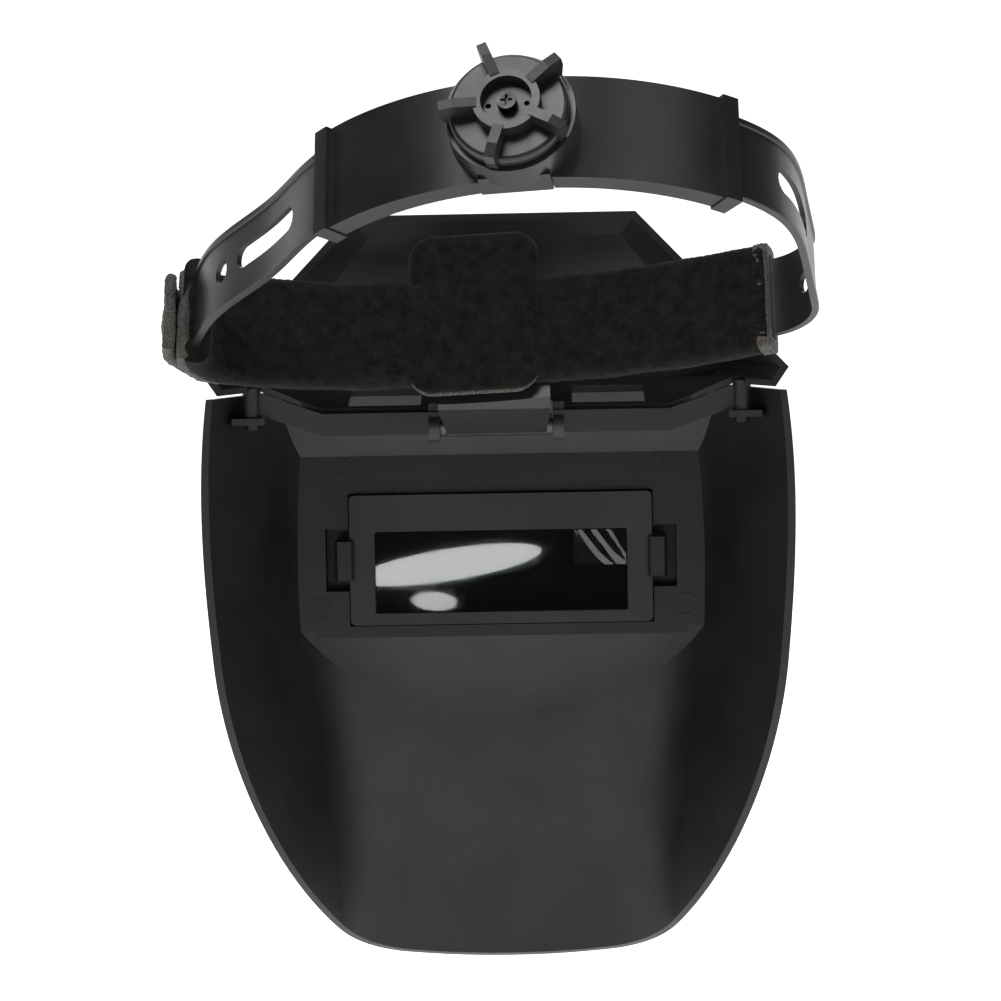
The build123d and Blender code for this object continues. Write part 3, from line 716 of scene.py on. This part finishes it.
def build_camera():
    az, el, roll = (math.radians(a) for a in (CAMERA_AZIMUTH, CAMERA_ELEVATION, CAMERA_ROLL))
    back = Vector((math.sin(az) * math.cos(el), -math.cos(az) * math.cos(el), math.sin(el)))
    right = (-back).cross(Vector((0, 0, 1))).normalized()
    up = right.cross(-back)
    turned_right = math.cos(roll) * right + math.sin(roll) * up
    turned_up = -math.sin(roll) * right + math.cos(roll) * up
    camera = bpy.data.objects.new("camera", bpy.data.cameras.new("camera"))
    camera.data.lens, camera.data.sensor_width = CAMERA_LENS, 36
    camera.data.clip_start, camera.data.clip_end = 0.05, 50
    rotation = Matrix((turned_right, turned_up, back)).transposed().to_4x4()
    camera.matrix_world = Matrix.Translation(CAMERA_TARGET + back * CAMERA_DISTANCE) @ rotation
    bpy.context.scene.collection.objects.link(camera)
    bpy.context.scene.camera = camera
    return camera


def area_light(name, place, aim, size, power, shape="RECTANGLE", spin=0.0):
    light = bpy.data.lights.new(name, "AREA")
    light.shape = shape
    light.size, light.size_y = size
    light.energy = power
    lamp = bpy.data.objects.new(name, light)
    away = Vector(place) - Vector(aim)
    lamp.matrix_world = (Matrix.Translation(place) @ away.to_track_quat("Z", "Y").to_matrix().to_4x4()
                         @ Matrix.Rotation(spin, 4, "Z"))
    lamp.visible_camera = False
    bpy.context.scene.collection.objects.link(lamp)


def glint(name, camera, x, u, size, spin, power):
    """A small softbox placed where the inner cover mirrors it at (x, u) on the view."""
    on_glass = WINDOW @ Vector((x * MM, -0.65 * MM, (VIEW_U + u) * MM))
    normal = (WINDOW.to_3x3() @ Vector((0, -1, 0))).normalized()
    ray = (on_glass - camera.matrix_world.translation).normalized()
    bounce = ray - 2 * ray.dot(normal) * normal
    place = on_glass + bounce * 1.5
    grow = (1.5 + CAMERA_DISTANCE) / CAMERA_DISTANCE * MM
    area_light(name, place, on_glass, (size[0] * grow, size[1] * grow), power, "ELLIPSE", spin)


def build_floor():
    """Pale floor that rises into a wall far behind the object."""
    floor_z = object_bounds()[0].z - 0.0015
    bm = bmesh.new()
    curve = [(4.5 + 1.5 * math.sin(a), 1.5 - 1.5 * math.cos(a)) for a in np.linspace(0.1, math.pi / 2, 12)]
    rows = [(-1.3, 0), (4.5, 0), *curve, (6.0, 6.0)]
    pairs = [(bm.verts.new((-8, y, z)), bm.verts.new((8, y, z))) for y, z in rows]
    for one, two in zip(pairs, pairs[1:]):
        bm.faces.new((one[0], one[1], two[1], two[0]))
    bm.transform(Matrix.Translation((0, 0, floor_z)))
    mesh = bpy.data.meshes.new("floor")
    bm.to_mesh(mesh)
    bm.free()
    for polygon in mesh.polygons:
        polygon.use_smooth = True
    floor = bpy.data.objects.new("floor", mesh)
    bpy.context.scene.collection.objects.link(floor)
    paper = new_material("paper", (0.9, 0.9, 0.9), 0.9)
    shader = paper.node_tree.nodes["Principled BSDF"]
    shader.inputs["Emission Color"].default_value = (1, 1, 1, 1)
    shader.inputs["Emission Strength"].default_value = 0.92
    tree = paper.node_tree
    tree.links.new(ramp(tree, noise_of(tree, 3), grey(0.89), grey(0.91)), shader.inputs["Base Color"])
    mesh.materials.append(paper)
    floor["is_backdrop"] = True


def build_world():
    """White to the camera, almost dark to everything the object mirrors."""
    world = bpy.data.worlds.new("studio")
    bpy.context.scene.world = world
    world.use_nodes = True
    tree = world.node_tree
    seen = tree.nodes.new("ShaderNodeLightPath").outputs["Is Camera Ray"]
    strength = node(tree, "ShaderNodeMapRange")
    strength.inputs["To Min"].default_value = 0.02
    tree.links.new(seen, strength.inputs["Value"])
    tree.nodes["Background"].inputs["Color"].default_value = (1, 1, 1, 1)
    tree.links.new(strength.outputs["Result"], tree.nodes["Background"].inputs["Strength"])


def build_studio(camera):
    target = (0, 0.08, -0.1)
    area_light("key", (-0.45, -0.75, 1.45), target, (0.8, 0.6), 13)
    area_light("fill", (0.9, -0.8, 1.1), target, (0.8, 0.8), 3)
    area_light("front", (0.05, -1.7, 0.62), (0, 0.16, -0.2), (0.30, 0.5), 0.8)
    area_light("top", (0, 0.5, 1.4), target, (1.2, 1.0), 8)
    area_light("back", (0.2, 1.5, 0.5), target, (1.2, 0.8), 4)
    glint("glint_wedge", camera, -20, 2.5, (70, 12), math.radians(8), 0.05)
    glint("glint_blob", camera, -26, -11.5, (17, 7), math.radians(-5), 0.006)
    build_floor()
    build_world()
    bpy.context.scene.view_settings.view_transform = "Standard"


dress_cad()
for strap_side in (-1, 1):
    build_strap(strap_side)
build_sleeve()
build_tab()
build_marks()
build_film()
build_studio(build_camera())
